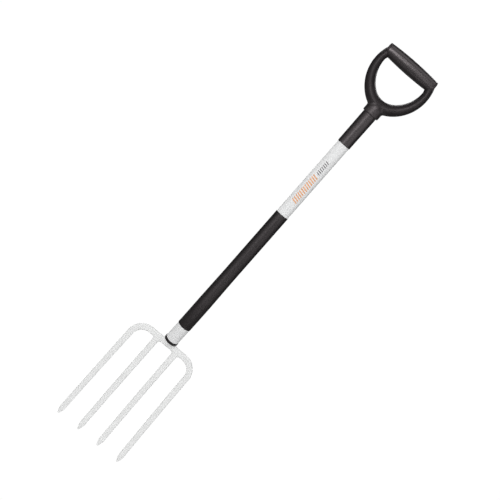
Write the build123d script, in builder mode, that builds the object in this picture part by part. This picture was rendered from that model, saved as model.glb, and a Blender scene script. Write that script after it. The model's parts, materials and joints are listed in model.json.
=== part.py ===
from build123d import *
from math import asin, cos, degrees, radians, sin, sqrt, tan
import os

# Four-tine digging fork with a D grip, standing upright with the tines down.
# Millimetres. +Z runs up the shaft, +X to the right and -Y to the front, the
# side that the tines curve towards. The origin is the centre of the grip bar.

# ---- driving dimensions -------------------------------------------------
# Grip bar
GRIP_LENGTH = 136.0
GRIP_MID_RADIUS = 17.4
GRIP_END_RADIUS = 14.8
BAR_RADIUS = 12.5
BAR_BORE_RADIUS = 9.0
BAR_END_DISC = 4.0
PLUG_FLANGE = 2.0
PLUG_FLANGE_RADIUS = 11.0
PLUG_LENGTH = 16.0

# D bow: two mirrored arcs outside and two inside
BOW_OUTER_RADIUS = 96.6
BOW_OUTER_SHIFT = 21.5
BOW_OUTER_Z = -31.8
BOW_INNER_RADIUS = 75.1
BOW_INNER_SHIFT = 19.5
BOW_INNER_Z = -23.7
BOW_TOP_Z = 8.0
BOW_DEPTH = 23.0
BOW_EDGE_ROUND = 9.0
OPENING_TOP_Z = -15.0
OPENING_CORNER = 7.0
OPENING_FOOT_ROUND = 40.4
BOW_FOOT_ROUND = 30.0
BOW_SHOULDER_ROUND = 10.0

# Collar of the bow and the stem sleeve that it grips
COLLAR_RADIUS = 20.5
COLLAR_FOOT_Z = -134.5
COLLAR_CHAMFER = 0.8
COLLAR_SHOULDER_Z = -117.5
COLLAR_NECK_RADIUS = 12.6
COLLAR_NECK_Z = -106.5
COLLAR_TOP_Z = -101.0
STEM_TOP_Z = -116.0
STEM_TOP_WALL = 3.0
STEM_TOP_RADIUS = 17.05
STEM_FOOT_Z = -222.1
STEM_FOOT_RADIUS = 16.6
STEM_FOOT_ROUND = 1.0

# Shaft tube: straight, then swelling, then bent back to the neck
TUBE_RADIUS = 15.5
TUBE_WALL = 1.5
SWELL_TOP_Z = -615.0
LOWER_TUBE_RADIUS = 16.3
BEND_TOP_Z = -695.0
BEND_RADIUS = 425.0
BEND_ANGLE = 16.0
TOP_PLUG_LENGTH = 41.0

# Black sleeve over the lower shaft
SLEEVE_TOP_Z = -429.1
SLEEVE_FOOT_Z = -769.0
SLEEVE_WALL = 0.7
SLEEVE_RIM_ROUND = 0.4

# Neck: steel spigot in a plastic bush
SPIGOT_RADIUS = 13.0
SPIGOT_START_ANGLE = 5.0
BUSH_START_ANGLE = 10.5
BUSH_FLANGE_RADIUS = 17.35
BUSH_FLANGE = 7.4
BUSH_EDGE_ROUND = 2.0
BOSS_RADIUS = 15.5
BOSS_FOOT_WIDTH = 31.0
BOSS_FOOT_DEPTH = 14.0
BOSS_FOOT_RISE = 2.0
NECK_SEAT_DEPTH = 0.8
NECK_SEAT_LENGTH = 46.0
NECK_WELD_SIZE = 6.0
NECK_WELD_ROOT = 3.0
NECK_WELD_SETBACK = 1.5

# Fasteners
SCREW_Z = -126.5
SCREW_RADIUS = 2.0
SCREW_LENGTH = 17.0
SCREW_HEAD_RADIUS = 4.2
SCREW_HEAD_HEIGHT = 2.4
SCREW_SEAT_Y = 18.4
SCREW_SEAT_RADIUS = 4.8
SCREW_SOCKET = 2.2
SCREW_SOCKET_DEPTH = 1.5
RIVET_ANGLE = 13.2
RIVET_RADIUS = 2.4
RIVET_DEPTH = 9.0
RIVET_HEAD_RADIUS = 4.8
RIVET_HEAD_HEIGHT = 2.2
RIVET_HEAD_ROUND = 1.4

# Head: one bent bar makes the crossbar and the outer tines
HEAD_Y = 20.0
CROSSBAR_Z = -829.4
BAR_HEIGHT = 14.2
BAR_DEPTH = 12.0
BAR_CORNER = 3.2
SHOULDER_RADIUS = 34.4
OUTER_TINE_X = 83.8
OUTER_SPLAY = 1.03
INNER_TINE_X = 27.8
INNER_SPLAY = 0.30
INNER_ROOT_RISE = 1.9
TINE_TIP_Z = -1113.3
TINE_POINT_LENGTH = 15.0
TINE_LOW_WIDTH = 12.7
TINE_LOW_DEPTH = 9.6
TINE_TIP_SIZE = 3.4
TINE_TAPER = 1.3
TINE_DISH = 27.0
SHANK_STEPS = 5
TINE_WELD_SIZE = 7.0
TINE_WELD_SETBACK = 1.0
# How far a bead reaches into a bar, to be cut back to the bar's face
WELD_ROOT = 1.0
# Slack for picking out edges by their size or place
SLACK = 0.1

# ---- worked out ---------------------------------------------------------
BEND_AXIS = Axis((0, BEND_RADIUS, BEND_TOP_Z), (1, 0, 0))
SHOULDER_Z = CROSSBAR_Z - SHOULDER_RADIUS
CROSSBAR_TOP = CROSSBAR_Z + BAR_HEIGHT / 2
CROSSBAR_UNDER = CROSSBAR_Z - BAR_HEIGHT / 2
TINE_FALL = SHOULDER_Z - TINE_TIP_Z
DISH_RADIUS = TINE_FALL**2 / (2 * TINE_DISH)


def bend_plane(angle):
    """Plane across the bent shaft, facing up it, at an angle round the bend."""
    turn = radians(angle)
    centre = (0, BEND_RADIUS * (1 - cos(turn)), BEND_TOP_Z - BEND_RADIUS * sin(turn))
    return Plane(origin=centre, x_dir=(1, 0, 0), z_dir=(0, -sin(turn), cos(turn)))


def tine_plane(x_root, splay, side, fall):
    """Plane across a tine, facing up it, this far below the shoulder."""
    dished = max(fall, 0)
    centre = (
        side * (x_root + fall * tan(radians(splay))),
        HEAD_Y - dished**2 / (2 * DISH_RADIUS),
        SHOULDER_Z - fall,
    )
    up = (-side * tan(radians(splay)), dished / DISH_RADIUS, 1)
    return Plane(origin=centre, x_dir=(1, 0, side * tan(radians(splay))), z_dir=up)


def bar_section(plane, width, depth):
    """Rounded bar section on a plane across a tine."""
    with BuildSketch(plane) as section:
        RectangleRounded(width, depth, BAR_CORNER * min(width, depth) / BAR_DEPTH)
    return section.sketch


def shank_sections(x_root, splay, side, top_fall):
    """Sections of a tine from its root down to where its point begins."""
    point_fall = TINE_FALL - TINE_POINT_LENGTH
    sections = []
    for step in range(SHANK_STEPS + 1):
        fall = top_fall + (point_fall - top_fall) * step / SHANK_STEPS
        share = max(fall, 0) / point_fall
        width = BAR_HEIGHT + (TINE_LOW_WIDTH - BAR_HEIGHT) * share
        depth = BAR_DEPTH + (TINE_LOW_DEPTH - BAR_DEPTH) * share
        sections.append(bar_section(tine_plane(x_root, splay, side, fall), width, depth))
    return sections


def point_sections(x_root, splay, side):
    """Sections of a tine's point, which narrows a little faster towards its tip."""
    sections = []
    for share in (0, 0.5, 1):
        taper = share**TINE_TAPER
        width = TINE_LOW_WIDTH + (TINE_TIP_SIZE - TINE_LOW_WIDTH) * taper
        depth = TINE_LOW_DEPTH + (TINE_TIP_SIZE - TINE_LOW_DEPTH) * taper
        fall = TINE_FALL - TINE_POINT_LENGTH * (1 - share)
        sections.append(bar_section(tine_plane(x_root, splay, side, fall), width, depth))
    return sections


os.makedirs("parts", exist_ok=True)

# ---- head ---------------------------------------------------------------
with BuildPart() as outer_tine_bow:
    splay = radians(OUTER_SPLAY)
    corner_x = OUTER_TINE_X - SHOULDER_RADIUS * cos(splay)
    end_z = SHOULDER_Z + SHOULDER_RADIUS * sin(splay)
    mid = radians(45 + OUTER_SPLAY / 2)
    mid_x = corner_x + SHOULDER_RADIUS * cos(mid)
    mid_z = SHOULDER_Z + SHOULDER_RADIUS * sin(mid)
    with BuildLine(Plane.XZ.offset(-HEAD_Y)) as bow_path:
        ThreePointArc((-OUTER_TINE_X, end_z), (-mid_x, mid_z), (-corner_x, CROSSBAR_Z))
        Line((-corner_x, CROSSBAR_Z), (corner_x, CROSSBAR_Z))
        ThreePointArc((corner_x, CROSSBAR_Z), (mid_x, mid_z), (OUTER_TINE_X, end_z))
    top_fall = SHOULDER_Z - end_z
    root_x = OUTER_TINE_X - top_fall * tan(splay)
    start = tine_plane(root_x, OUTER_SPLAY, -1, top_fall)
    sweep(bar_section(start, BAR_HEIGHT, BAR_DEPTH), path=bow_path.wire())
    for side in (-1, 1):
        loft(shank_sections(root_x, OUTER_SPLAY, side, top_fall))
        loft(point_sections(root_x, OUTER_SPLAY, side))
    # Shallow seat that the neck and its welds stand in
    with BuildSketch(Plane.XY.offset(CROSSBAR_TOP)):
        with Locations((0, HEAD_Y)):
            Rectangle(NECK_SEAT_LENGTH, 2 * BAR_DEPTH)
    extrude(amount=-NECK_SEAT_DEPTH, mode=Mode.SUBTRACT)
outer_tine_bow.part.label = "outer_tine_bow"
export_step(outer_tine_bow.part, "parts/outer_tine_bow.step")

inner_tines = {}
for name, side in (("left", -1), ("right", 1)):
    with BuildPart() as inner_tine:
        root_z = CROSSBAR_UNDER + INNER_ROOT_RISE
        loft(shank_sections(INNER_TINE_X, INNER_SPLAY, side, SHOULDER_Z - root_z))
        loft(point_sections(INNER_TINE_X, INNER_SPLAY, side))
        add(outer_tine_bow.part, mode=Mode.SUBTRACT)
    inner_tine.part.label = f"inner_tine_{name}"
    export_step(inner_tine.part, f"parts/inner_tine_{name}.step")
    inner_tines[name] = inner_tine

# Concave welds where each inner tine meets the underside of the crossbar
tine_welds = {}
for name, side in (("left", -1), ("right", 1)):
    with BuildPart() as tine_weld:
        root = tine_plane(INNER_TINE_X, INNER_SPLAY, side, SHOULDER_Z - CROSSBAR_UNDER)
        with BuildSketch(Plane.XZ.offset(-HEAD_Y)):
            for flank in (-1, 1):
                edge = root.origin.X + flank * BAR_HEIGHT / 2
                with BuildLine():
                    Polyline(
                        (edge + flank * TINE_WELD_SIZE, CROSSBAR_UNDER),
                        (edge + flank * TINE_WELD_SIZE, CROSSBAR_UNDER + WELD_ROOT),
                        (edge - flank * WELD_ROOT, CROSSBAR_UNDER + WELD_ROOT),
                        (edge - flank * WELD_ROOT, CROSSBAR_UNDER - TINE_WELD_SIZE),
                        (edge, CROSSBAR_UNDER - TINE_WELD_SIZE),
                    )
                    RadiusArc(
                        (edge, CROSSBAR_UNDER - TINE_WELD_SIZE),
                        (edge + flank * TINE_WELD_SIZE, CROSSBAR_UNDER),
                        flank * TINE_WELD_SIZE,
                    )
                make_face()
        extrude(amount=BAR_DEPTH / 2 - TINE_WELD_SETBACK, both=True)
        add(outer_tine_bow.part, mode=Mode.SUBTRACT)
        add(inner_tines[name].part, mode=Mode.SUBTRACT)
    tine_weld.part.label = f"tine_weld_{name}"
    export_step(tine_weld.part, f"parts/tine_weld_{name}.step")
    tine_welds[name] = tine_weld


# ---- fasteners ----------------------------------------------------------
with BuildPart() as neck_rivet:
    turn = radians(RIVET_ANGLE)
    middle = bend_plane(RIVET_ANGLE).origin
    core = Plane(origin=middle, x_dir=(1, 0, 0), z_dir=(0, cos(turn), sin(turn)))
    with BuildSketch(core.offset(LOWER_TUBE_RADIUS - RIVET_HEAD_HEIGHT)):
        Circle(RIVET_HEAD_RADIUS)
    extrude(amount=2 * RIVET_HEAD_HEIGHT)
    fillet(neck_rivet.faces().sort_by(Axis.Y)[-1].edges(), RIVET_HEAD_ROUND)
    # The head sits on the round back of the tube
    with BuildSketch(bend_plane(0)):
        Circle(LOWER_TUBE_RADIUS)
    revolve(axis=BEND_AXIS, revolution_arc=BEND_ANGLE, mode=Mode.SUBTRACT)
    with BuildSketch(core.offset(LOWER_TUBE_RADIUS - RIVET_DEPTH)):
        Circle(RIVET_RADIUS)
    extrude(amount=RIVET_DEPTH + RIVET_HEAD_HEIGHT / 2)
neck_rivet.part.label = "neck_rivet"
export_step(neck_rivet.part, "parts/neck_rivet.step")

screw_seat = Plane(origin=(0, SCREW_SEAT_Y, SCREW_Z), x_dir=(-1, 0, 0), z_dir=(0, 1, 0))
with BuildPart() as handle_screw:
    with BuildSketch(screw_seat):
        Circle(SCREW_HEAD_RADIUS)
    extrude(amount=SCREW_HEAD_HEIGHT)
    fillet(handle_screw.faces().sort_by(Axis.Y)[-1].edges(), SCREW_HEAD_HEIGHT / 2)
    with BuildSketch(screw_seat.offset(SCREW_HEAD_HEIGHT)):
        RegularPolygon(SCREW_SOCKET, 6)
    extrude(amount=-SCREW_SOCKET_DEPTH, mode=Mode.SUBTRACT)
    with BuildSketch(screw_seat):
        Circle(SCREW_RADIUS)
    extrude(amount=-SCREW_LENGTH)
handle_screw.part.label = "handle_screw"
export_step(handle_screw.part, "parts/handle_screw.step")

# ---- neck ---------------------------------------------------------------
neck_plane = bend_plane(BEND_ANGLE)
boss_plane = neck_plane.offset(-BUSH_FLANGE)

with BuildPart() as neck_spigot:
    # Tang, bent along with the tube
    with BuildSketch(bend_plane(SPIGOT_START_ANGLE)):
        Circle(SPIGOT_RADIUS)
    revolve(axis=BEND_AXIS, revolution_arc=BEND_ANGLE - SPIGOT_START_ANGLE)
    # Straight length through the flange of the bush
    with BuildSketch(boss_plane):
        Circle(SPIGOT_RADIUS)
    extrude(amount=BUSH_FLANGE)
    # Boss, running down from a round shoulder onto the crossbar
    with BuildSketch(boss_plane):
        Circle(BOSS_RADIUS)
    with BuildSketch(Plane.XY.offset(CROSSBAR_UNDER + BOSS_FOOT_RISE)):
        with Locations((0, HEAD_Y)):
            SlotOverall(BOSS_FOOT_WIDTH, BOSS_FOOT_DEPTH)
    loft()
    add(outer_tine_bow.part, mode=Mode.SUBTRACT)
    add(neck_rivet.part, mode=Mode.SUBTRACT)
neck_spigot.part.label = "neck_spigot"
export_step(neck_spigot.part, "parts/neck_spigot.step")

with BuildPart() as neck_bush:
    with BuildSketch(bend_plane(BUSH_START_ANGLE)):
        Circle(LOWER_TUBE_RADIUS - TUBE_WALL)
        Circle(SPIGOT_RADIUS, mode=Mode.SUBTRACT)
    revolve(axis=BEND_AXIS, revolution_arc=BEND_ANGLE - BUSH_START_ANGLE)
    with BuildSketch(neck_plane):
        Circle(BUSH_FLANGE_RADIUS)
        Circle(SPIGOT_RADIUS, mode=Mode.SUBTRACT)
    extrude(amount=-BUSH_FLANGE)
    rims = neck_bush.edges().filter_by(GeomType.CIRCLE)
    rims = rims.filter_by(lambda edge: abs(edge.radius - BUSH_FLANGE_RADIUS) < SLACK)
    fillet(rims, BUSH_EDGE_ROUND)
    add(neck_rivet.part, mode=Mode.SUBTRACT)
neck_bush.part.label = "neck_bush"
export_step(neck_bush.part, "parts/neck_bush.step")

with BuildPart() as neck_weld:
    with BuildSketch(Plane.XZ.offset(-HEAD_Y)):
        seat_z = CROSSBAR_TOP - NECK_SEAT_DEPTH
        for side in (-1, 1):
            with BuildLine():
                Polyline(
                    (side * (BOSS_RADIUS + NECK_WELD_SIZE), seat_z),
                    (side * (BOSS_RADIUS + NECK_WELD_SIZE), seat_z - WELD_ROOT),
                    (side * (BOSS_RADIUS - NECK_WELD_ROOT), seat_z - WELD_ROOT),
                    (side * (BOSS_RADIUS - NECK_WELD_ROOT), seat_z + NECK_WELD_SIZE),
                    (side * BOSS_RADIUS, seat_z + NECK_WELD_SIZE),
                )
                RadiusArc(
                    (side * BOSS_RADIUS, seat_z + NECK_WELD_SIZE),
                    (side * (BOSS_RADIUS + NECK_WELD_SIZE), seat_z),
                    -side * NECK_WELD_SIZE,
                )
            make_face()
    extrude(amount=BAR_DEPTH / 2 - NECK_WELD_SETBACK, both=True)
    add(outer_tine_bow.part, mode=Mode.SUBTRACT)
    add(neck_spigot.part, mode=Mode.SUBTRACT)
    add(neck_bush.part, mode=Mode.SUBTRACT)
neck_weld.part.label = "neck_weld"
export_step(neck_weld.part, "parts/neck_weld.step")

# ---- shaft --------------------------------------------------------------
TUBE_TOP_Z = STEM_TOP_Z - STEM_TOP_WALL

with BuildPart() as shaft_tube:
    with BuildSketch(Plane.XZ):
        with BuildLine():
            Polyline(
                (TUBE_RADIUS, TUBE_TOP_Z),
                (TUBE_RADIUS, SWELL_TOP_Z),
                (LOWER_TUBE_RADIUS, BEND_TOP_Z),
                (LOWER_TUBE_RADIUS - TUBE_WALL, BEND_TOP_Z),
                (TUBE_RADIUS - TUBE_WALL, SWELL_TOP_Z),
                (TUBE_RADIUS - TUBE_WALL, TUBE_TOP_Z),
                close=True,
            )
        make_face()
    revolve(axis=Axis.Z)
    with BuildSketch(bend_plane(0)):
        Circle(LOWER_TUBE_RADIUS)
        Circle(LOWER_TUBE_RADIUS - TUBE_WALL, mode=Mode.SUBTRACT)
    revolve(axis=BEND_AXIS, revolution_arc=BEND_ANGLE)
    add(neck_rivet.part, mode=Mode.SUBTRACT)
    add(handle_screw.part, mode=Mode.SUBTRACT)
shaft_tube.part.label = "shaft_tube"
export_step(shaft_tube.part, "parts/shaft_tube.step")

with BuildPart() as shaft_sleeve:
    with BuildSketch(Plane.XZ):
        with BuildLine():
            Polyline(
                (TUBE_RADIUS, SLEEVE_TOP_Z),
                (TUBE_RADIUS, SWELL_TOP_Z),
                (LOWER_TUBE_RADIUS, BEND_TOP_Z),
                (LOWER_TUBE_RADIUS + SLEEVE_WALL, BEND_TOP_Z),
                (TUBE_RADIUS + SLEEVE_WALL, SWELL_TOP_Z),
                (TUBE_RADIUS + SLEEVE_WALL, SLEEVE_TOP_Z),
                close=True,
            )
        make_face()
    revolve(axis=Axis.Z)
    with BuildSketch(bend_plane(0)):
        Circle(LOWER_TUBE_RADIUS + SLEEVE_WALL)
        Circle(LOWER_TUBE_RADIUS, mode=Mode.SUBTRACT)
    sleeve_bend = degrees(asin((BEND_TOP_Z - SLEEVE_FOOT_Z) / BEND_RADIUS))
    revolve(axis=BEND_AXIS, revolution_arc=sleeve_bend)
    top_rim = shaft_sleeve.edges().filter_by(GeomType.CIRCLE).group_by(Axis.Z)[-1]
    top_rim = top_rim.filter_by(lambda edge: edge.radius > TUBE_RADIUS + SLACK)
    fillet(top_rim, SLEEVE_RIM_ROUND)
shaft_sleeve.part.label = "shaft_sleeve"
export_step(shaft_sleeve.part, "parts/shaft_sleeve.step")

with BuildPart() as shaft_top_plug:
    with BuildSketch(Plane.XY.offset(TUBE_TOP_Z)):
        Circle(TUBE_RADIUS - TUBE_WALL)
    extrude(amount=-TOP_PLUG_LENGTH)
    add(handle_screw.part, mode=Mode.SUBTRACT)
shaft_top_plug.part.label = "shaft_top_plug"
export_step(shaft_top_plug.part, "parts/shaft_top_plug.step")

# ---- handle -------------------------------------------------------------
with BuildPart() as handle_stem:
    with BuildSketch(Plane.XZ):
        with BuildLine():
            Polyline(
                (0, STEM_TOP_Z),
                (STEM_TOP_RADIUS, STEM_TOP_Z),
                (STEM_TOP_RADIUS, COLLAR_FOOT_Z),
                (STEM_FOOT_RADIUS, STEM_FOOT_Z),
                (TUBE_RADIUS, STEM_FOOT_Z),
                (TUBE_RADIUS, TUBE_TOP_Z),
                (0, TUBE_TOP_Z),
                close=True,
            )
        make_face()
    revolve(axis=Axis.Z)
    foot_rim = handle_stem.edges().filter_by(GeomType.CIRCLE)
    foot_rim = foot_rim.filter_by(lambda edge: abs(edge.radius - STEM_FOOT_RADIUS) < SLACK)
    fillet(foot_rim, STEM_FOOT_ROUND)
    add(handle_screw.part, mode=Mode.SUBTRACT)
handle_stem.part.label = "handle_stem"
export_step(handle_stem.part, "parts/handle_stem.step")


def shifted_arcs(radius, shift, centre_z, top_z):
    """Outline of two mirrored arcs that meet at the foot, closed across the top."""
    foot = (0, centre_z - sqrt(radius**2 - shift**2))
    wide_x = radius - shift
    top_x = sqrt(radius**2 - (top_z - centre_z) ** 2) - shift
    with BuildSketch(Plane.XZ) as outline:
        with BuildLine():
            ThreePointArc(foot, (wide_x, centre_z), (top_x, top_z))
            Line((top_x, top_z), (-top_x, top_z))
            ThreePointArc((-top_x, top_z), (-wide_x, centre_z), foot)
        make_face()
    return outline


with BuildPart() as handle_bow:
    outline = shifted_arcs(BOW_OUTER_RADIUS, BOW_OUTER_SHIFT, BOW_OUTER_Z, BOW_TOP_Z)
    extrude(outline.sketch, amount=BOW_DEPTH / 2, both=True)
    opening = shifted_arcs(BOW_INNER_RADIUS, BOW_INNER_SHIFT, BOW_INNER_Z, OPENING_TOP_Z)
    extrude(opening.sketch, amount=BOW_DEPTH, both=True, mode=Mode.SUBTRACT)
    # Round the corners seen from the front, then the front and back edges
    foot = handle_bow.edges().filter_by(Axis.Y).sort_by(Axis.Z)[0]
    fillet(foot, BOW_FOOT_ROUND)
    foot = handle_bow.edges().filter_by(Axis.Y).sort_by(Axis.Z)
    foot = foot.filter_by(lambda edge: abs(edge.center().X) < SLACK)
    fillet(foot, OPENING_FOOT_ROUND)
    shoulders = handle_bow.edges().filter_by(Axis.Y)
    shoulders = shoulders.filter_by(lambda edge: abs(edge.center().Z - BOW_TOP_Z) < SLACK)
    fillet(shoulders, BOW_SHOULDER_ROUND)
    corners = handle_bow.edges().filter_by(Axis.Y)
    corners = corners.filter_by(lambda edge: abs(edge.center().Z - OPENING_TOP_Z) < SLACK)
    fillet(corners, OPENING_CORNER)
    rims = handle_bow.faces().filter_by(Axis.Y).edges()
    fillet(rims, BOW_EDGE_ROUND)
    # Collar with a tapering top that runs up the front and back of the bow
    with BuildSketch(Plane.XZ):
        with BuildLine():
            Polyline(
                (0, COLLAR_TOP_Z),
                (0, COLLAR_FOOT_Z),
                (COLLAR_RADIUS - COLLAR_CHAMFER, COLLAR_FOOT_Z),
                (COLLAR_RADIUS, COLLAR_FOOT_Z + COLLAR_CHAMFER),
                (COLLAR_RADIUS, COLLAR_SHOULDER_Z),
            )
            Spline(
                (COLLAR_RADIUS, COLLAR_SHOULDER_Z),
                (COLLAR_NECK_RADIUS, COLLAR_NECK_Z),
                tangents=((0, 1), (-0.5, 1)),
            )
            Line((COLLAR_NECK_RADIUS, COLLAR_NECK_Z), (0, COLLAR_TOP_Z))
        make_face()
    revolve(axis=Axis.Z)
    # Hollow bar with a disc at each end, and the bores for the end plugs
    with BuildSketch(Plane.YZ):
        Circle(BAR_RADIUS)
    extrude(amount=GRIP_LENGTH / 2, both=True)
    for side in (-1, 1):
        with BuildSketch(Plane.YZ.offset(side * GRIP_LENGTH / 2)):
            Circle(GRIP_END_RADIUS)
        extrude(amount=-side * BAR_END_DISC)
    with BuildSketch(Plane.YZ):
        Circle(BAR_BORE_RADIUS)
    extrude(amount=GRIP_LENGTH / 2, both=True, mode=Mode.SUBTRACT)
    for side in (-1, 1):
        with BuildSketch(Plane.YZ.offset(side * GRIP_LENGTH / 2)):
            Circle(PLUG_FLANGE_RADIUS)
        extrude(amount=-side * PLUG_FLANGE, mode=Mode.SUBTRACT)
    # Socket for the stem, and the seat of the screw head
    with BuildSketch(Plane.XY.offset(COLLAR_FOOT_Z)):
        Circle(STEM_TOP_RADIUS)
    extrude(amount=STEM_TOP_Z - COLLAR_FOOT_Z, mode=Mode.SUBTRACT)
    with BuildSketch(screw_seat):
        Circle(SCREW_SEAT_RADIUS)
    extrude(amount=COLLAR_RADIUS, mode=Mode.SUBTRACT)
    add(handle_screw.part, mode=Mode.SUBTRACT)
handle_bow.part.label = "handle_bow"
export_step(handle_bow.part, "parts/handle_bow.step")

with BuildPart() as grip_cover:
    cover_end = GRIP_LENGTH / 2 - BAR_END_DISC
    with BuildSketch(Plane.XZ):
        with BuildLine():
            Polyline(
                (cover_end, GRIP_END_RADIUS),
                (cover_end, BAR_RADIUS),
                (-cover_end, BAR_RADIUS),
                (-cover_end, GRIP_END_RADIUS),
            )
            ThreePointArc(
                (-cover_end, GRIP_END_RADIUS),
                (0, GRIP_MID_RADIUS),
                (cover_end, GRIP_END_RADIUS),
            )
        make_face()
    revolve(axis=Axis.X)
    add(handle_bow.part, mode=Mode.SUBTRACT)
grip_cover.part.label = "grip_cover"
export_step(grip_cover.part, "parts/grip_cover.step")

grip_plugs = {}
for name, side in (("left", -1), ("right", 1)):
    with BuildPart() as grip_plug:
        end_plane = Plane.YZ.offset(side * GRIP_LENGTH / 2)
        with BuildSketch(end_plane):
            Circle(PLUG_FLANGE_RADIUS)
        extrude(amount=-side * PLUG_FLANGE)
        with BuildSketch(end_plane):
            Circle(BAR_BORE_RADIUS)
        extrude(amount=-side * PLUG_LENGTH)
    grip_plug.part.label = f"grip_plug_{name}"
    export_step(grip_plug.part, f"parts/grip_plug_{name}.step")
    grip_plugs[name] = grip_plug
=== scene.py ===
import json
import math

import bmesh
import bpy
import numpy as np
from mathutils import Matrix, Vector
from mathutils.bvhtree import BVHTree


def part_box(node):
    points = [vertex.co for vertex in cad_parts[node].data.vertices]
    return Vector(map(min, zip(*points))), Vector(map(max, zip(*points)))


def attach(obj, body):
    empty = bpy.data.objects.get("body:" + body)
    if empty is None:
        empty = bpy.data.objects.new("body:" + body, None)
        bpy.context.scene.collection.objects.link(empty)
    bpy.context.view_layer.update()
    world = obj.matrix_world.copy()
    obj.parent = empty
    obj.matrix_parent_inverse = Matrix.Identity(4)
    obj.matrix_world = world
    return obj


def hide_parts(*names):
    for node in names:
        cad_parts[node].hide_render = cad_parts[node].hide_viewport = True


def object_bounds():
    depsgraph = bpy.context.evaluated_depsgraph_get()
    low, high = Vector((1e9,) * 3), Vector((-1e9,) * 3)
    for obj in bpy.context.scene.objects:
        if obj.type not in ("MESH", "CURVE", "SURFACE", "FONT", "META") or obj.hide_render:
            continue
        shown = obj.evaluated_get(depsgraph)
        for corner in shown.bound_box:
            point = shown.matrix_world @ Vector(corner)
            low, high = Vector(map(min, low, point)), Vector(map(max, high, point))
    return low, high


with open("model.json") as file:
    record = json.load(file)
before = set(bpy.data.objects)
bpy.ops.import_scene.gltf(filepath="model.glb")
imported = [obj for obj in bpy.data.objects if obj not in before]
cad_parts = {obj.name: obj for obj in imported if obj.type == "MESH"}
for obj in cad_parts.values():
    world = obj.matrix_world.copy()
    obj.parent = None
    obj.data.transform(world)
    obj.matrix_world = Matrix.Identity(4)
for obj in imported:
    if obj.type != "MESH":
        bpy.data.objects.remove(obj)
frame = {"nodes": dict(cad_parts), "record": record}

CAD_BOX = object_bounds()
BODY = "root"
MM = 0.001


# ---- camera, stage and light ------------------------------------------------
CAMERA_TARGET = Vector((-0.00196, 0, -0.5376))
CAMERA_DISTANCE = 3.0
CAMERA_ELEVATION = math.radians(8)
CAMERA_AZIMUTH = math.radians(-4)
FORK_TILT = math.radians(41.27)
CAMERA_LENS = 96
SENSOR_WIDTH = 36
VIEW_REACH = 200
SURROUND = 0.05
BACKDROP = 1.02
FLOOR_REACH = 80
FLOOR_GAP = 0.5 * MM
FLOOR_GREY = (0.25, 0.25, 0.25)
NECK = Vector((0, 0, -0.84))


def way(azimuth, elevation):
    """Direction from the fork, by angles in radians; azimuth 0 is straight in front."""
    return Vector((
        math.sin(azimuth) * math.cos(elevation),
        -math.cos(azimuth) * math.cos(elevation),
        math.sin(elevation),
    ))


def make_camera():
    """Camera in front of the fork, rolled so that the handle points up to the right."""
    away = way(CAMERA_AZIMUTH, CAMERA_ELEVATION)
    right = Vector((0, 0, 1)).cross(away).normalized()
    up = away.cross(right)
    turn = Matrix((right, up, away)).transposed() @ Matrix.Rotation(FORK_TILT, 3, "Z")
    camera = bpy.data.objects.new("camera", bpy.data.cameras.new("camera"))
    camera.data.lens = CAMERA_LENS
    camera.data.sensor_width = SENSOR_WIDTH
    camera.data.clip_end = VIEW_REACH
    place = Matrix.Translation(CAMERA_TARGET + CAMERA_DISTANCE * away)
    camera.matrix_world = place @ turn.to_4x4()
    bpy.context.scene.collection.objects.link(camera)
    bpy.context.scene.camera = camera


def area_light(name, azimuth, elevation, distance, size, power, aim=CAMERA_TARGET):
    """Unseen rectangular soft light that faces a point of the fork, placed by angles in degrees."""
    away = way(math.radians(azimuth), math.radians(elevation))
    light = bpy.data.lights.new(name, "AREA")
    light.shape = "RECTANGLE"
    light.size, light.size_y = size
    light.energy = power
    lamp = bpy.data.objects.new(name, light)
    lamp.location = aim + distance * away
    lamp.rotation_mode = "QUATERNION"
    lamp.rotation_quaternion = (-away).to_track_quat("-Z", "Y")
    lamp.visible_camera = False
    bpy.context.scene.collection.objects.link(lamp)


def make_lights():
    """Soft lights all round, strongest above the front, and a small one low at the neck."""
    area_light("key", -15, 20, 3.6, (1.6, 0.9), 62)
    area_light("high", -5, 40, 3.6, (2.0, 0.9), 23)
    area_light("left_side", -75, 5, 3.4, (1.4, 1.8), 7)
    area_light("left", -48, 2, 3.6, (1.2, 1.6), 16)
    area_light("left_front", -24, 0, 3.6, (1.2, 1.6), 25)
    area_light("right_front", 20, -4, 3.6, (1.2, 1.6), 17)
    area_light("right", 42, 0, 3.6, (1.2, 1.6), 17)
    area_light("right_side", 68, 4, 3.4, (1.4, 1.8), 11)
    area_light("low", 15, -16, 1.0, (0.6, 0.16), 1.2, NECK)
    area_light("top", 0, 78, 2.6, (2.0, 1.4), 12)
    area_light("back_left", -150, 36, 3.0, (1.6, 1.2), 36)
    area_light("back_right", 150, 36, 3.0, (1.6, 1.2), 36)


def white_for_camera(tree, other, kind, strength):
    """Mixes a shader for light rays with plain white for what the camera sees directly."""
    seen = tree.nodes.new(kind)
    seen.inputs["Color"].default_value = (1, 1, 1, 1)
    seen.inputs["Strength"].default_value = strength
    path = tree.nodes.new("ShaderNodeLightPath")
    choose = tree.nodes.new("ShaderNodeMixShader")
    tree.links.new(path.outputs["Is Camera Ray"], choose.inputs[0])
    tree.links.new(other.outputs[0], choose.inputs[1])
    tree.links.new(seen.outputs[0], choose.inputs[2])
    return choose


def make_world():
    """White backdrop for the camera, and a dim even surround for the object."""
    world = bpy.data.worlds.new("studio")
    bpy.context.scene.world = world
    world.use_nodes = True
    tree = world.node_tree
    tree.nodes.clear()
    surround = tree.nodes.new("ShaderNodeBackground")
    surround.inputs["Color"].default_value = (1, 1, 1, 1)
    surround.inputs["Strength"].default_value = SURROUND
    output = tree.nodes.new("ShaderNodeOutputWorld")
    mixed = white_for_camera(tree, surround, "ShaderNodeBackground", BACKDROP)
    tree.links.new(mixed.outputs[0], output.inputs["Surface"])


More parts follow.
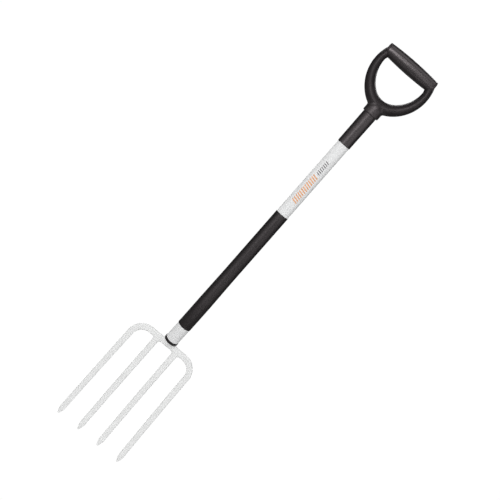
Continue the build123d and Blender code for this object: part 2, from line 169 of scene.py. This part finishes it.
def make_floor():
    """Plain floor under the points, white for the camera and a dim grey for the light."""
    z = CAD_BOX[0].z - FLOOR_GAP
    square = ((-1, -1), (1, -1), (1, 1), (-1, 1))
    corners = [(x * FLOOR_REACH, y * FLOOR_REACH, z) for x, y in square]
    mesh = bpy.data.meshes.new("floor")
    mesh.from_pydata(corners, [], [(0, 1, 2, 3)])
    floor = bpy.data.objects.new("floor", mesh)
    bpy.context.scene.collection.objects.link(floor)
    paint = bpy.data.materials.new("floor_white")
    paint.use_nodes = True
    tree = paint.node_tree
    tree.nodes.clear()
    dull = tree.nodes.new("ShaderNodeBsdfDiffuse")
    dull.inputs["Color"].default_value = (*FLOOR_GREY, 1)
    output = tree.nodes.new("ShaderNodeOutputMaterial")
    mixed = white_for_camera(tree, dull, "ShaderNodeEmission", BACKDROP)
    tree.links.new(mixed.outputs[0], output.inputs["Surface"])
    mesh.materials.append(paint)


# ---- materials --------------------------------------------------------------
def texture_space(tree, stretch=(1, 1, 1)):
    """Coordinates on the object in metres, stretched along each axis."""
    place = tree.nodes.new("ShaderNodeTexCoord")
    scale = tree.nodes.new("ShaderNodeMapping")
    scale.inputs["Scale"].default_value = stretch
    tree.links.new(place.outputs["Object"], scale.inputs["Vector"])
    return scale.outputs["Vector"]


def noise(tree, space, size, detail=2.0, rough=0.5):
    """Soft random pattern whose blots are about this many metres across."""
    node = tree.nodes.new("ShaderNodeTexNoise")
    node.inputs["Scale"].default_value = 1 / size
    node.inputs["Detail"].default_value = detail
    node.inputs["Roughness"].default_value = rough
    tree.links.new(space, node.inputs["Vector"])
    return node.outputs["Fac"]


def spread(tree, value, low, high, start=0.3, end=0.7):
    """Maps a pattern to the range from low to high."""
    node = tree.nodes.new("ShaderNodeMapRange")
    node.inputs["From Min"].default_value = start
    node.inputs["From Max"].default_value = end
    node.inputs["To Min"].default_value = low
    node.inputs["To Max"].default_value = high
    tree.links.new(value, node.inputs["Value"])
    return node.outputs["Result"]


def blend_color(tree, share, first, second):
    """Mixes two colours by a pattern."""
    node = tree.nodes.new("ShaderNodeMix")
    node.data_type = "RGBA"
    for name, color in (("A", first), ("B", second)):
        socket = [s for s in node.inputs if s.name == name and s.type == "RGBA"][0]
        socket.default_value = (*color, 1)
    tree.links.new(share, node.inputs["Factor"])
    return [s for s in node.outputs if s.type == "RGBA"][0]


def relief(tree, height, depth, below=None):
    """Bumps of that depth in metres, added to any bumps below."""
    node = tree.nodes.new("ShaderNodeBump")
    node.inputs["Distance"].default_value = depth
    tree.links.new(height, node.inputs["Height"])
    if below is not None:
        tree.links.new(below, node.inputs["Normal"])
    return node.outputs["Normal"]


def new_surface(
    name, metallic=0.0, specular=0.5, coat=0.0, coat_roughness=0.1, tint=(1, 1, 1), flat=0.0
):
    """Material with a Principled shader, and its node tree; flat evens out the shading round it."""
    paint = bpy.data.materials.new(name)
    paint.use_nodes = True
    shader = paint.node_tree.nodes["Principled BSDF"]
    shader.inputs["Metallic"].default_value = metallic
    shader.inputs["Specular IOR Level"].default_value = specular
    shader.inputs["Specular Tint"].default_value = (*tint, 1)
    shader.inputs["Diffuse Roughness"].default_value = flat
    shader.inputs["Coat Weight"].default_value = coat
    shader.inputs["Coat Roughness"].default_value = coat_roughness
    return paint, paint.node_tree, shader


def head_coat():
    """Light grey powder coat: orange peel, faint clouds and fine specks."""
    paint, tree, shader = new_surface("head_coat", specular=0.3, flat=0.6)
    space = texture_space(tree)
    clouds = noise(tree, space, 18 * MM, detail=3)
    specks = noise(tree, space, 0.35 * MM, detail=1)
    cloud_share = spread(tree, clouds, 0, 1)
    shade = blend_color(tree, cloud_share, (0.675, 0.678, 0.676), (0.72, 0.723, 0.721))
    tree.links.new(shade, shader.inputs["Base Color"])
    tree.links.new(spread(tree, clouds, 0.40, 0.52), shader.inputs["Roughness"])
    peel = relief(tree, noise(tree, space, 2.2 * MM, detail=1), 0.009 * MM)
    tree.links.new(relief(tree, specks, 0.0006 * MM, peel), shader.inputs["Normal"])
    return paint


def tube_lacquer():
    """Pale lacquered aluminium: fine lines along the tube under a clear coat."""
    paint, tree, shader = new_surface(
        "tube_lacquer", specular=0.22, coat=0.05, coat_roughness=0.3, flat=0.5
    )
    lines_space = texture_space(tree, (1, 1, 0.012))
    lines = noise(tree, lines_space, 0.45 * MM, detail=3, rough=0.6)
    clouds = noise(tree, texture_space(tree, (1, 1, 0.3)), 14 * MM, detail=2)
    line_share = spread(tree, lines, 0, 1)
    shade = blend_color(tree, line_share, (0.645, 0.648, 0.65), (0.695, 0.698, 0.70))
    tree.links.new(shade, shader.inputs["Base Color"])
    tree.links.new(spread(tree, clouds, 0.46, 0.56), shader.inputs["Roughness"])
    tree.links.new(relief(tree, lines, 0.003 * MM), shader.inputs["Normal"])
    return paint


WARM_SHEEN = (1, 0.91, 0.935)


def moulded(name, dark, light, roughness, grain, depth, specular=0.5):
    """Moulded plastic or rubber with an eroded grain of that size and depth."""
    paint, tree, shader = new_surface(name, specular=specular, tint=WARM_SHEEN)
    space = texture_space(tree)
    clouds = noise(tree, space, 25 * MM, detail=3)
    pits = noise(tree, space, grain, detail=3, rough=0.65)
    mix = tree.nodes.new("ShaderNodeMath")
    mix.operation = "MULTIPLY"
    tree.links.new(spread(tree, clouds, 0.35, 1), mix.inputs[0])
    tree.links.new(spread(tree, pits, 0.2, 1), mix.inputs[1])
    tree.links.new(blend_color(tree, mix.outputs[0], dark, light), shader.inputs["Base Color"])
    tree.links.new(spread(tree, pits, roughness + 0.07, roughness - 0.05), shader.inputs["Roughness"])
    swell = relief(tree, noise(tree, space, 4 * grain, detail=1), 0.6 * depth)
    tree.links.new(relief(tree, pits, depth, swell), shader.inputs["Normal"])
    return paint


SHINY_BELOW_Z = -114 * MM
DULL_ABOVE_Z = -107 * MM


def handle_plastic():
    """Plastic of the bow: dull arms and a shinier collar."""
    paint = moulded(
        "handle_plastic", (0.007, 0.0055, 0.006), (0.013, 0.011, 0.012), 0.46, 0.7 * MM, 0.06 * MM
    )
    tree = paint.node_tree
    axes = tree.nodes.new("ShaderNodeSeparateXYZ")
    tree.links.new(texture_space(tree), axes.inputs[0])
    shine = spread(tree, axes.outputs["Z"], 0.62, 0.30, SHINY_BELOW_Z, DULL_ABOVE_Z)
    tree.links.new(shine, tree.nodes["Principled BSDF"].inputs["Specular IOR Level"])
    return paint


def zinc():
    """Zinc-plated steel with fine brushing and dull clouds."""
    paint, tree, shader = new_surface("fastener_steel", metallic=1.0)
    lines = noise(tree, texture_space(tree, (0.1, 1, 1)), 0.2 * MM, detail=3)
    clouds = noise(tree, texture_space(tree), 2.5 * MM)
    shade = blend_color(tree, spread(tree, clouds, 0, 1), (0.50, 0.50, 0.50), (0.62, 0.62, 0.61))
    tree.links.new(shade, shader.inputs["Base Color"])
    tree.links.new(spread(tree, clouds, 0.30, 0.46), shader.inputs["Roughness"])
    tree.links.new(relief(tree, lines, 0.01 * MM), shader.inputs["Normal"])
    return paint


def ink(name, dark, light):
    """Printed ink on the tube, a little uneven."""
    paint, tree, shader = new_surface(name, specular=0.4, coat=0.15, coat_roughness=0.25)
    space = texture_space(tree)
    clouds = noise(tree, space, 1.2 * MM, detail=3)
    shade = blend_color(tree, spread(tree, clouds, 0, 1), dark, light)
    tree.links.new(shade, shader.inputs["Base Color"])
    tree.links.new(spread(tree, clouds, 0.38, 0.5), shader.inputs["Roughness"])
    tree.links.new(relief(tree, clouds, 0.006 * MM), shader.inputs["Normal"])
    return paint


def make_paints():
    """One finished material for each material slot of the record."""
    return {
        "head_coat": head_coat(),
        "tube_lacquer": tube_lacquer(),
        "sleeve_plastic": moulded(
            "sleeve_plastic", (0.0045, 0.0038, 0.004), (0.0085, 0.0075, 0.008),
            0.43, 0.5 * MM, 0.05 * MM, 0.42
        ),
        "stem_plastic": moulded(
            "stem_plastic", (0.010, 0.0085, 0.009), (0.018, 0.016, 0.017),
            0.36, 0.7 * MM, 0.05 * MM
        ),
        "handle_plastic": handle_plastic(),
        "grip_rubber": moulded(
            "grip_rubber", (0.008, 0.0065, 0.007), (0.014, 0.012, 0.013),
            0.34, 0.45 * MM, 0.04 * MM, 0.68
        ),
        "bush_plastic": moulded(
            "bush_plastic", (0.006, 0.006, 0.006), (0.010, 0.010, 0.010),
            0.45, 0.5 * MM, 0.03 * MM
        ),
        "inner_plastic": moulded(
            "inner_plastic", (0.02, 0.02, 0.02), (0.035, 0.035, 0.035),
            0.5, 0.5 * MM, 0.03 * MM
        ),
        "fastener_steel": zinc(),
    }


def paint_cad(paints):
    """Gives each CAD node the finish of its slot."""
    for row in frame["record"]["subparts"]:
        node = frame["nodes"][row["node"]]
        node.data.materials.clear()
        node.data.materials.append(paints[row["material_slot"]])


# ---- mesh helpers -----------------------------------------------------------
SHARP_EDGE = math.radians(38)


def loft(rings, closed=False):
    """Skin over rings of equal length, with a face at each end, or joined into a closed loop."""
    count = len(rings[0])
    verts = [point for ring in rings for point in ring]
    rows = len(rings) if closed else len(rings) - 1
    faces = []
    for row in range(rows):
        here, there = row * count, (row + 1) % len(rings) * count
        for col in range(count):
            side = (col + 1) % count
            faces.append((here + col, here + side, there + side, there + col))
    if not closed:
        faces.append(tuple(reversed(range(count))))
        faces.append(tuple(range(len(verts) - count, len(verts))))
    return verts, faces


def joined(parts):
    """Several skins as one list of points and faces."""
    verts, faces = [], []
    for part_verts, part_faces in parts:
        start = len(verts)
        verts += part_verts
        faces += [tuple(start + index for index in face) for face in part_faces]
    return verts, faces


def lathe(profile, steps):
    """Skin of a closed profile of (radius, height) turned about Z."""
    rings = []
    for step in range(steps):
        angle = 2 * math.pi * step / steps
        c, s = math.cos(angle), math.sin(angle)
        rings.append([(radius * c, radius * s, height) for radius, height in profile])
    return loft(rings, closed=True)


def new_mesh(name, skin):
    """Mesh with its faces turned outwards."""
    mesh = bpy.data.meshes.new(name)
    mesh.from_pydata(skin[0], [], skin[1])
    work = bmesh.new()
    work.from_mesh(mesh)
    bmesh.ops.recalc_face_normals(work, faces=work.faces)
    work.to_mesh(mesh)
    work.free()
    return mesh


def new_piece(name, mesh, paint, slot, *nodes):
    """Object of the fork that rides on the body and stands for these CAD nodes."""
    piece = bpy.data.objects.new(name, mesh)
    bpy.context.scene.collection.objects.link(piece)
    mesh.shade_smooth()
    mesh.set_sharp_from_angle(angle=SHARP_EDGE)
    mesh.materials.clear()
    mesh.materials.append(paint)
    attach(piece, BODY)
    if nodes:
        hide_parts(*nodes)
    return piece


def baked(mesh, add_modifiers):
    """The mesh that an object has once its modifiers are applied."""
    carrier = bpy.data.objects.new("carrier", mesh)
    bpy.context.scene.collection.objects.link(carrier)
    add_modifiers(carrier)
    graph = bpy.context.evaluated_depsgraph_get()
    result = bpy.data.meshes.new_from_object(carrier.evaluated_get(graph))
    bpy.data.objects.remove(carrier)
    return result


def fused(skin, voxel):
    """One even mesh over skins that overlap."""
    def remesh(carrier):
        step = carrier.modifiers.new("remesh", "REMESH")
        step.mode = "VOXEL"
        step.voxel_size = voxel
    return baked(new_mesh("rough", skin), remesh)


def relax(mesh, rounds, share):
    """Draws each point towards the average of its neighbours, by the share that share() gives."""
    count = len(mesh.vertices)
    points = np.empty(count * 3)
    mesh.vertices.foreach_get("co", points)
    points = points.reshape(-1, 3)
    ends = np.empty(len(mesh.edges) * 2, dtype=np.int64)
    mesh.edges.foreach_get("vertices", ends)
    first, second = ends.reshape(-1, 2).T
    degree = np.bincount(first, minlength=count) + np.bincount(second, minlength=count)
    pull = share(points)[:, None]
    for _ in range(rounds):
        total = np.stack([
            np.bincount(first, points[second, axis], count)
            + np.bincount(second, points[first, axis], count)
            for axis in range(3)
        ], axis=1)
        points = points + pull * (total / degree[:, None] - points)
    mesh.vertices.foreach_set("co", points.ravel())
    mesh.update()


def carved(mesh, cutters):
    """The mesh with other closed skins cut out of it."""
    tools = []
    for skin in cutters:
        tool = bpy.data.objects.new("cutter", new_mesh("cutter", skin))
        bpy.context.scene.collection.objects.link(tool)
        tools.append(tool)

    def cut(carrier):
        for tool in tools:
            step = carrier.modifiers.new("cut", "BOOLEAN")
            step.operation = "DIFFERENCE"
            step.solver = "EXACT"
            step.object = tool
    result = baked(mesh, cut)
    for tool in tools:
        bpy.data.objects.remove(tool)
    return result


def rod(start, end, radius, steps=64):
    """Closed round rod between two points."""
    start, end = Vector(start), Vector(end)
    turn = (end - start).to_track_quat("Z", "Y")
    ring = [
        turn @ Vector((radius * math.cos(a), radius * math.sin(a), 0))
        for a in (2 * math.pi * step / steps for step in range(steps))
    ]
    return loft([[tuple(start + p) for p in ring], [tuple(end + p) for p in ring]])


# ---- D handle ---------------------------------------------------------------
GRIP_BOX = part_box("grip_cover")
GRIP_END_X = GRIP_BOX[1].x
BAR_END_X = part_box("grip_plug_right")[1].x
GRIP_MID_RADIUS = GRIP_BOX[1].z
GRIP_END_RADIUS = 14.8 * MM
BAR_RADIUS = 12.5 * MM
DISC_OVERLAP = 2 * MM
PLUG_FLANGE_RADIUS = 11.0 * MM
PLUG_FLANGE = 2.0 * MM
PLUG_GAP = 0.2 * MM
COLLAR_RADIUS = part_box("handle_bow")[1].y
COLLAR_FOOT_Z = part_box("handle_bow")[0].z
COLLAR_CHAMFER = 0.8 * MM
COLLAR_SHOULDER_Z = -118 * MM
COLLAR_SHOULDER_RISE = 14 * MM
COLLAR_SHOULDER_TUCK = 8.5 * MM
COLLAR_SHOULDER_CURVE = 0.9
COLLAR_SHOULDER_STEPS = 8
COLLAR_AXIS_GAP = 0.1 * MM
STEM_TOP_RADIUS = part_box("handle_stem")[1].x
STEM_TOP_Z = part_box("handle_stem")[1].z
SCREW_SEAT_RADIUS = 4.8 * MM
SCREW_SEAT_Y = 18.4 * MM
SCREW_Z = (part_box("handle_screw")[0].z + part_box("handle_screw")[1].z) / 2
SOCKET_OVERRUN = 5 * MM
PLUG_OVERRUN = 0.3 * MM
ROUND_STEPS = 96
BOW_VOXEL = 0.9 * MM

# The arms, with angles in degrees at the hub of the right arm
ARM_HUB = Vector((-20.5 * MM, 0, -28 * MM))
ARM_TOP_ANGLE = 18
ARM_OPEN_ANGLE = 10
ARM_SWELL_ANGLE = -35
ARM_SWELL_SPAN = 35
ARM_FOOT_ANGLE = -80
ARM_STEP = 2
ARM_TOP_TUCK = 2.4 * MM
ARM_WIDTH = 19.5 * MM
ARM_DEPTH = 26 * MM
ARM_FOOT_DEPTH = 33 * MM
ARM_COLLAR_GAP = 2 * MM
ARM_RING = 40
ARM_CREST = 1.12
RAY_STEP = 0.01 * MM

# The zone round the foot of the arms that is smoothed into the collar
JOIN_LOW_Z = -124 * MM
JOIN_LOW_FADE = 6 * MM
JOIN_HIGH_Z = -94 * MM
JOIN_HIGH_FADE = 8 * MM
JOIN_REACH = 34 * MM
JOIN_REACH_FADE = 10 * MM
JOIN_ROUNDS = 26
EVEN_ROUNDS = 5
RELAX_SHARE = 0.5


def bow_tree():
    """The CAD bow, to be measured by rays."""
    work = bmesh.new()
    work.from_mesh(frame["nodes"]["handle_bow"].data)
    tree = BVHTree.FromBMesh(work)
    work.free()
    return tree


def ray_ends(tree, direction):
    """Distances at which a ray from the hub of the right arm meets the bow, nearest first."""
    reach, found = 0.0, []
    while True:
        hit = tree.ray_cast(ARM_HUB + direction * (reach + RAY_STEP), direction)
        if hit[0] is None:
            return found
        reach = (hit[0] - ARM_HUB).length
        found.append(reach)


def spoke(angle):
    """Direction in the plane of the bow, from the hub of the right arm, at an angle in degrees."""
    turn = math.radians(angle)
    return Vector((math.cos(turn), 0, math.sin(turn)))


def arm_ring(side, angle, inner, outer, depth):
    """Oval section of an arm between two distances from its hub."""
    middle, half = (outer + inner) / 2, (outer - inner) / 2
    ring = []
    for step in range(ARM_RING):
        a = 2 * math.pi * step / ARM_RING
        c, s = math.cos(a), math.sin(a)
        along = math.copysign(abs(c) ** ARM_CREST, c) * half
        across = math.copysign(abs(s) ** ARM_CREST, s) * depth / 2
        point = ARM_HUB + spoke(angle) * (middle + along)
        ring.append((side * point.x, across, point.z))
    return ring


def arm_rings(side):
    """Sections of one arm of the bow, from inside the grip down to inside the collar."""
    tree = bow_tree()
    rings = []
    # Where the collar hides an arm's outer edge, the last edge seen is kept
    outer = None
    for angle in range(ARM_TOP_ANGLE, ARM_FOOT_ANGLE - 1, -ARM_STEP):
        found = ray_ends(tree, spoke(angle))
        far = ARM_HUB + spoke(angle) * found[-1]
        clear_of_collar = abs(far.x) > COLLAR_RADIUS + ARM_COLLAR_GAP
        if clear_of_collar or outer is None:
            outer = found[-1]
        inner = found[0] if angle < ARM_OPEN_ANGLE else outer - ARM_WIDTH
        near_foot = min(1, max(0, (ARM_SWELL_ANGLE - angle) / ARM_SWELL_SPAN))
        ease = near_foot * near_foot * (3 - 2 * near_foot)
        depth = ARM_DEPTH + (ARM_FOOT_DEPTH - ARM_DEPTH) * ease
        if not rings:
            rings.append(arm_ring(side, angle + ARM_STEP, inner, outer - ARM_TOP_TUCK, depth))
        rings.append(arm_ring(side, angle, inner, outer, depth))
    return rings


def collar_profile():
    """Half section of the collar, from its foot over its round shoulder."""
    shoulder = []
    for step in range(1, COLLAR_SHOULDER_STEPS + 1):
        turn = math.pi / 2 * step / COLLAR_SHOULDER_STEPS
        tuck = COLLAR_SHOULDER_TUCK * (1 - math.cos(turn)) ** COLLAR_SHOULDER_CURVE
        rise = COLLAR_SHOULDER_RISE * math.sin(turn)
        shoulder.append((COLLAR_RADIUS - tuck, COLLAR_SHOULDER_Z + rise))
    return [
        (COLLAR_AXIS_GAP, COLLAR_FOOT_Z),
        (COLLAR_RADIUS - COLLAR_CHAMFER, COLLAR_FOOT_Z),
        (COLLAR_RADIUS, COLLAR_FOOT_Z + COLLAR_CHAMFER),
        (COLLAR_RADIUS, COLLAR_SHOULDER_Z),
        *shoulder,
        (COLLAR_AXIS_GAP, shoulder[-1][1]),
    ]


def bow_skins():
    """Arms, collar and bar ends, still as separate overlapping skins."""
    arms = [loft(arm_rings(side)) for side in (-1, 1)]
    collar = lathe(collar_profile(), ROUND_STEPS)
    discs = []
    for side in (-1, 1):
        inside = (side * (GRIP_END_X - DISC_OVERLAP), 0, 0)
        discs.append(rod(inside, (side * BAR_END_X, 0, 0), GRIP_END_RADIUS, ROUND_STEPS))
    return arms + [collar] + discs


def make_bow(paint):
    """D bow whose round arms run smoothly into the collar and the ends of the grip bar."""
    mesh = fused(joined(bow_skins()), BOW_VOXEL)

    def all_over(points):
        return np.full(len(points), RELAX_SHARE)

    def where_arms_join(points):
        x, z = points[:, 0], points[:, 2]
        low = np.clip((z - JOIN_LOW_Z) / JOIN_LOW_FADE, 0, 1)
        high = np.clip((JOIN_HIGH_Z - z) / JOIN_HIGH_FADE, 0, 1)
        reach = np.clip((JOIN_REACH - abs(x)) / JOIN_REACH_FADE, 0, 1)
        return RELAX_SHARE * low * high * reach

    relax(mesh, EVEN_ROUNDS, all_over)
    relax(mesh, JOIN_ROUNDS, where_arms_join)
    stem_socket = rod((0, 0, COLLAR_FOOT_Z - SOCKET_OVERRUN), (0, 0, STEM_TOP_Z), STEM_TOP_RADIUS)
    seat_start, seat_end = (0, SCREW_SEAT_Y, SCREW_Z), (0, 2 * COLLAR_RADIUS, SCREW_Z)
    bores = [stem_socket, rod(seat_start, seat_end, SCREW_SEAT_RADIUS)]
    for side in (-1, 1):
        bore_start = (side * (BAR_END_X - PLUG_FLANGE), 0, 0)
        bore_end = (side * (BAR_END_X + PLUG_OVERRUN), 0, 0)
        bores.append(rod(bore_start, bore_end, PLUG_FLANGE_RADIUS + PLUG_GAP))
    return new_piece("bow_shell", carved(mesh, bores), paint, "handle_plastic", "handle_bow")


GRIP_EDGE_ROUND = 0.8 * MM
GRIP_EDGE_STEPS = 5
GRIP_STATIONS = 24
GRIP_TURN_STEP = 4
GRIP_SEAM_DEPTH = 0.22 * MM
GRIP_SEAM_REACH = 1.3
GRIP_SEAM_STEPS = (-3, -2, -1, 1, 2, 3)


def grip_radius(x):
    """Outer radius of the barrel-shaped grip, with rounded rims at its ends."""
    share = abs(x) / GRIP_END_X
    barrel = GRIP_MID_RADIUS - (GRIP_MID_RADIUS - GRIP_END_RADIUS) * share**2
    past = max(0, abs(x) - (GRIP_END_X - GRIP_EDGE_ROUND))
    return barrel - GRIP_EDGE_ROUND + math.sqrt(max(0, GRIP_EDGE_ROUND**2 - past**2))


def make_grip(paint):
    """Soft cover of the grip bar, with rounded rims and a moulding seam at top and bottom."""
    barrel = [GRIP_END_X * k / GRIP_STATIONS for k in range(2 - GRIP_STATIONS, GRIP_STATIONS - 1)]
    rim = [
        GRIP_END_X - GRIP_EDGE_ROUND * (1 - math.sin(math.pi / 2 * k / GRIP_EDGE_STEPS))
        for k in range(GRIP_EDGE_STEPS + 1)
    ]
    places = [-x for x in reversed(rim)] + barrel + rim
    # Degrees round the grip, with extra steps where the seam's groove reaches
    angles = list(range(0, 360, GRIP_TURN_STEP))
    angles += [seam + k * GRIP_SEAM_REACH / 2 for seam in (90, 270) for k in GRIP_SEAM_STEPS]
    rings = []
    for angle in sorted(angles):
        off_seam = min(abs(angle - 90), abs(angle - 270)) / GRIP_SEAM_REACH
        groove = GRIP_SEAM_DEPTH * max(0, 1 - off_seam)
        c, s = math.cos(math.radians(angle)), math.sin(math.radians(angle))
        ring = [(x, (grip_radius(x) - groove) * c, (grip_radius(x) - groove) * s) for x in places]
        ring += [(x, BAR_RADIUS * c, BAR_RADIUS * s) for x in (GRIP_END_X, -GRIP_END_X)]
        rings.append(ring)
    mesh = new_mesh("grip_overmould", loft(rings, closed=True))
    return new_piece("grip_overmould", mesh, paint, "grip_rubber", "grip_cover")


# ---- welds ------------------------------------------------------------------
HEAD_Y = 20 * MM
BAR_HALF_DEPTH = 6 * MM
BAR_HALF_WIDTH = 7.1 * MM
BAR_CORNER = 3.2 * MM
CROSSBAR_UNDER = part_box("tine_weld_left")[1].z
BEAD_HALF_LENGTH = BAR_HALF_DEPTH - 0.2 * MM
BEAD_ROOT = 1 * MM
BEAD_HOLLOW = 0.97
BEAD_TAPER_LENGTH = 1.04 * BEAD_HALF_LENGTH
BEAD_TAPER_CURVE = 6
BEAD_END_SHARE = 0.05
BEAD_RIPPLE = 2.0 * MM
BEAD_RIPPLE_DEPTH = 0.22 * MM
BEAD_STEPS = 24
BEAD_ARC_STEPS = 6


def bar_inset(y):
    """How far a bar's flank lies back where its corners are round."""
    past = max(0, abs(y) - (BAR_HALF_DEPTH - BAR_CORNER))
    return BAR_CORNER - math.sqrt(max(0, BAR_CORNER**2 - past**2))


def bead(corner_x, flank, leg):
    """Hollow-faced, rippled bead under the crossbar on one flank of a tine, from front to back."""
    rings = []
    for step in range(BEAD_STEPS + 1):
        y = BEAD_HALF_LENGTH * (2 * step / BEAD_STEPS - 1)
        taper = 1 - (abs(y) / BEAD_TAPER_LENGTH) ** BEAD_TAPER_CURVE
        ripple = BEAD_RIPPLE_DEPTH * math.cos(2 * math.pi * y / BEAD_RIPPLE)
        size = leg * math.sqrt(max(BEAD_END_SHARE, taper)) + ripple
        # Distances out along the crossbar and down along the tine
        outline = [(-BEAD_ROOT, -BEAD_ROOT), (size, -BEAD_ROOT)]
        for k in range(BEAD_ARC_STEPS + 1):
            turn = math.pi / 2 * k / BEAD_ARC_STEPS
            out = size - size * math.sin(turn) * BEAD_HOLLOW
            outline.append((out, size - size * math.cos(turn) * BEAD_HOLLOW))
        outline.append((-BEAD_ROOT, size))
        x = corner_x - flank * bar_inset(y)
        z = CROSSBAR_UNDER + bar_inset(y)
        rings.append([(x + flank * out, HEAD_Y + y, z - down) for out, down in outline])
    return loft(rings)


def make_tine_weld(name, paint):
    """Two beads where an inner tine meets the underside of the crossbar."""
    low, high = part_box(f"tine_weld_{name}")
    middle = (low.x + high.x) / 2
    leg = (high.x - low.x) / 2 - BAR_HALF_WIDTH
    beads = [bead(middle + flank * BAR_HALF_WIDTH, flank, leg) for flank in (-1, 1)]
    mesh = new_mesh(f"weld_bead_{name}", joined(beads))
    return new_piece(f"weld_bead_{name}", mesh, paint, "head_coat", f"tine_weld_{name}")


# ---- printed marks ----------------------------------------------------------
TUBE_RADIUS = 15.5 * MM
INK_DEPTH = 0.05 * MM
PRINT_STEPS = 8


def print_bar(left, right, foot_z, height, slant):
    """Thin bar of ink across the front of the tube, lower by the slant at its right end."""
    rings = []
    for step in range(PRINT_STEPS + 1):
        share = step / PRINT_STEPS
        angle = (left + (right - left) * share) / TUBE_RADIUS
        low = foot_z + slant * (0.5 - share)
        ring = []
        for lift, z in ((-1, low), (-1, low + height), (1, low + height), (1, low)):
            reach = TUBE_RADIUS + lift * INK_DEPTH
            ring.append((reach * math.sin(angle), -reach * math.cos(angle), z))
        rings.append(ring)
    return loft(rings)


def print_column(count, foot_z, pitch, left, right, height, slant):
    """Skin of a column of bars, measured in millimetres, from the lowest one up."""
    bars = []
    for k in range(count):
        z = (foot_z + pitch * k) * MM
        bars.append(print_bar(left * MM, right * MM, z, height * MM, slant * MM))
    return joined(bars)


def make_prints():
    """Plain bars in place of the printed marks: orange below, small grey ones above."""
    orange = ink("print_orange", (0.57, 0.26, 0.11), (0.65, 0.32, 0.15))
    grey = ink("print_grey", (0.10, 0.09, 0.095), (0.15, 0.14, 0.145))
    big = print_column(13, -388.7, 5.9, left=-8.0, right=6.5, height=3.0, slant=3.2)
    small = print_column(7, -308, 5.2, left=-5.5, right=4.0, height=2.3, slant=2.0)
    new_piece("print_bars_orange", new_mesh("print_bars_orange", big), orange, "tube_lacquer")
    new_piece("print_bars_grey", new_mesh("print_bars_grey", small), grey, "tube_lacquer")


bpy.context.scene.view_settings.view_transform = "Standard"
make_camera()
make_world()
make_floor()
make_lights()

PAINTS = make_paints()
paint_cad(PAINTS)
make_bow(PAINTS["handle_plastic"])
make_grip(PAINTS["grip_rubber"])
make_tine_weld("left", PAINTS["head_coat"])
make_tine_weld("right", PAINTS["head_coat"])
make_prints()
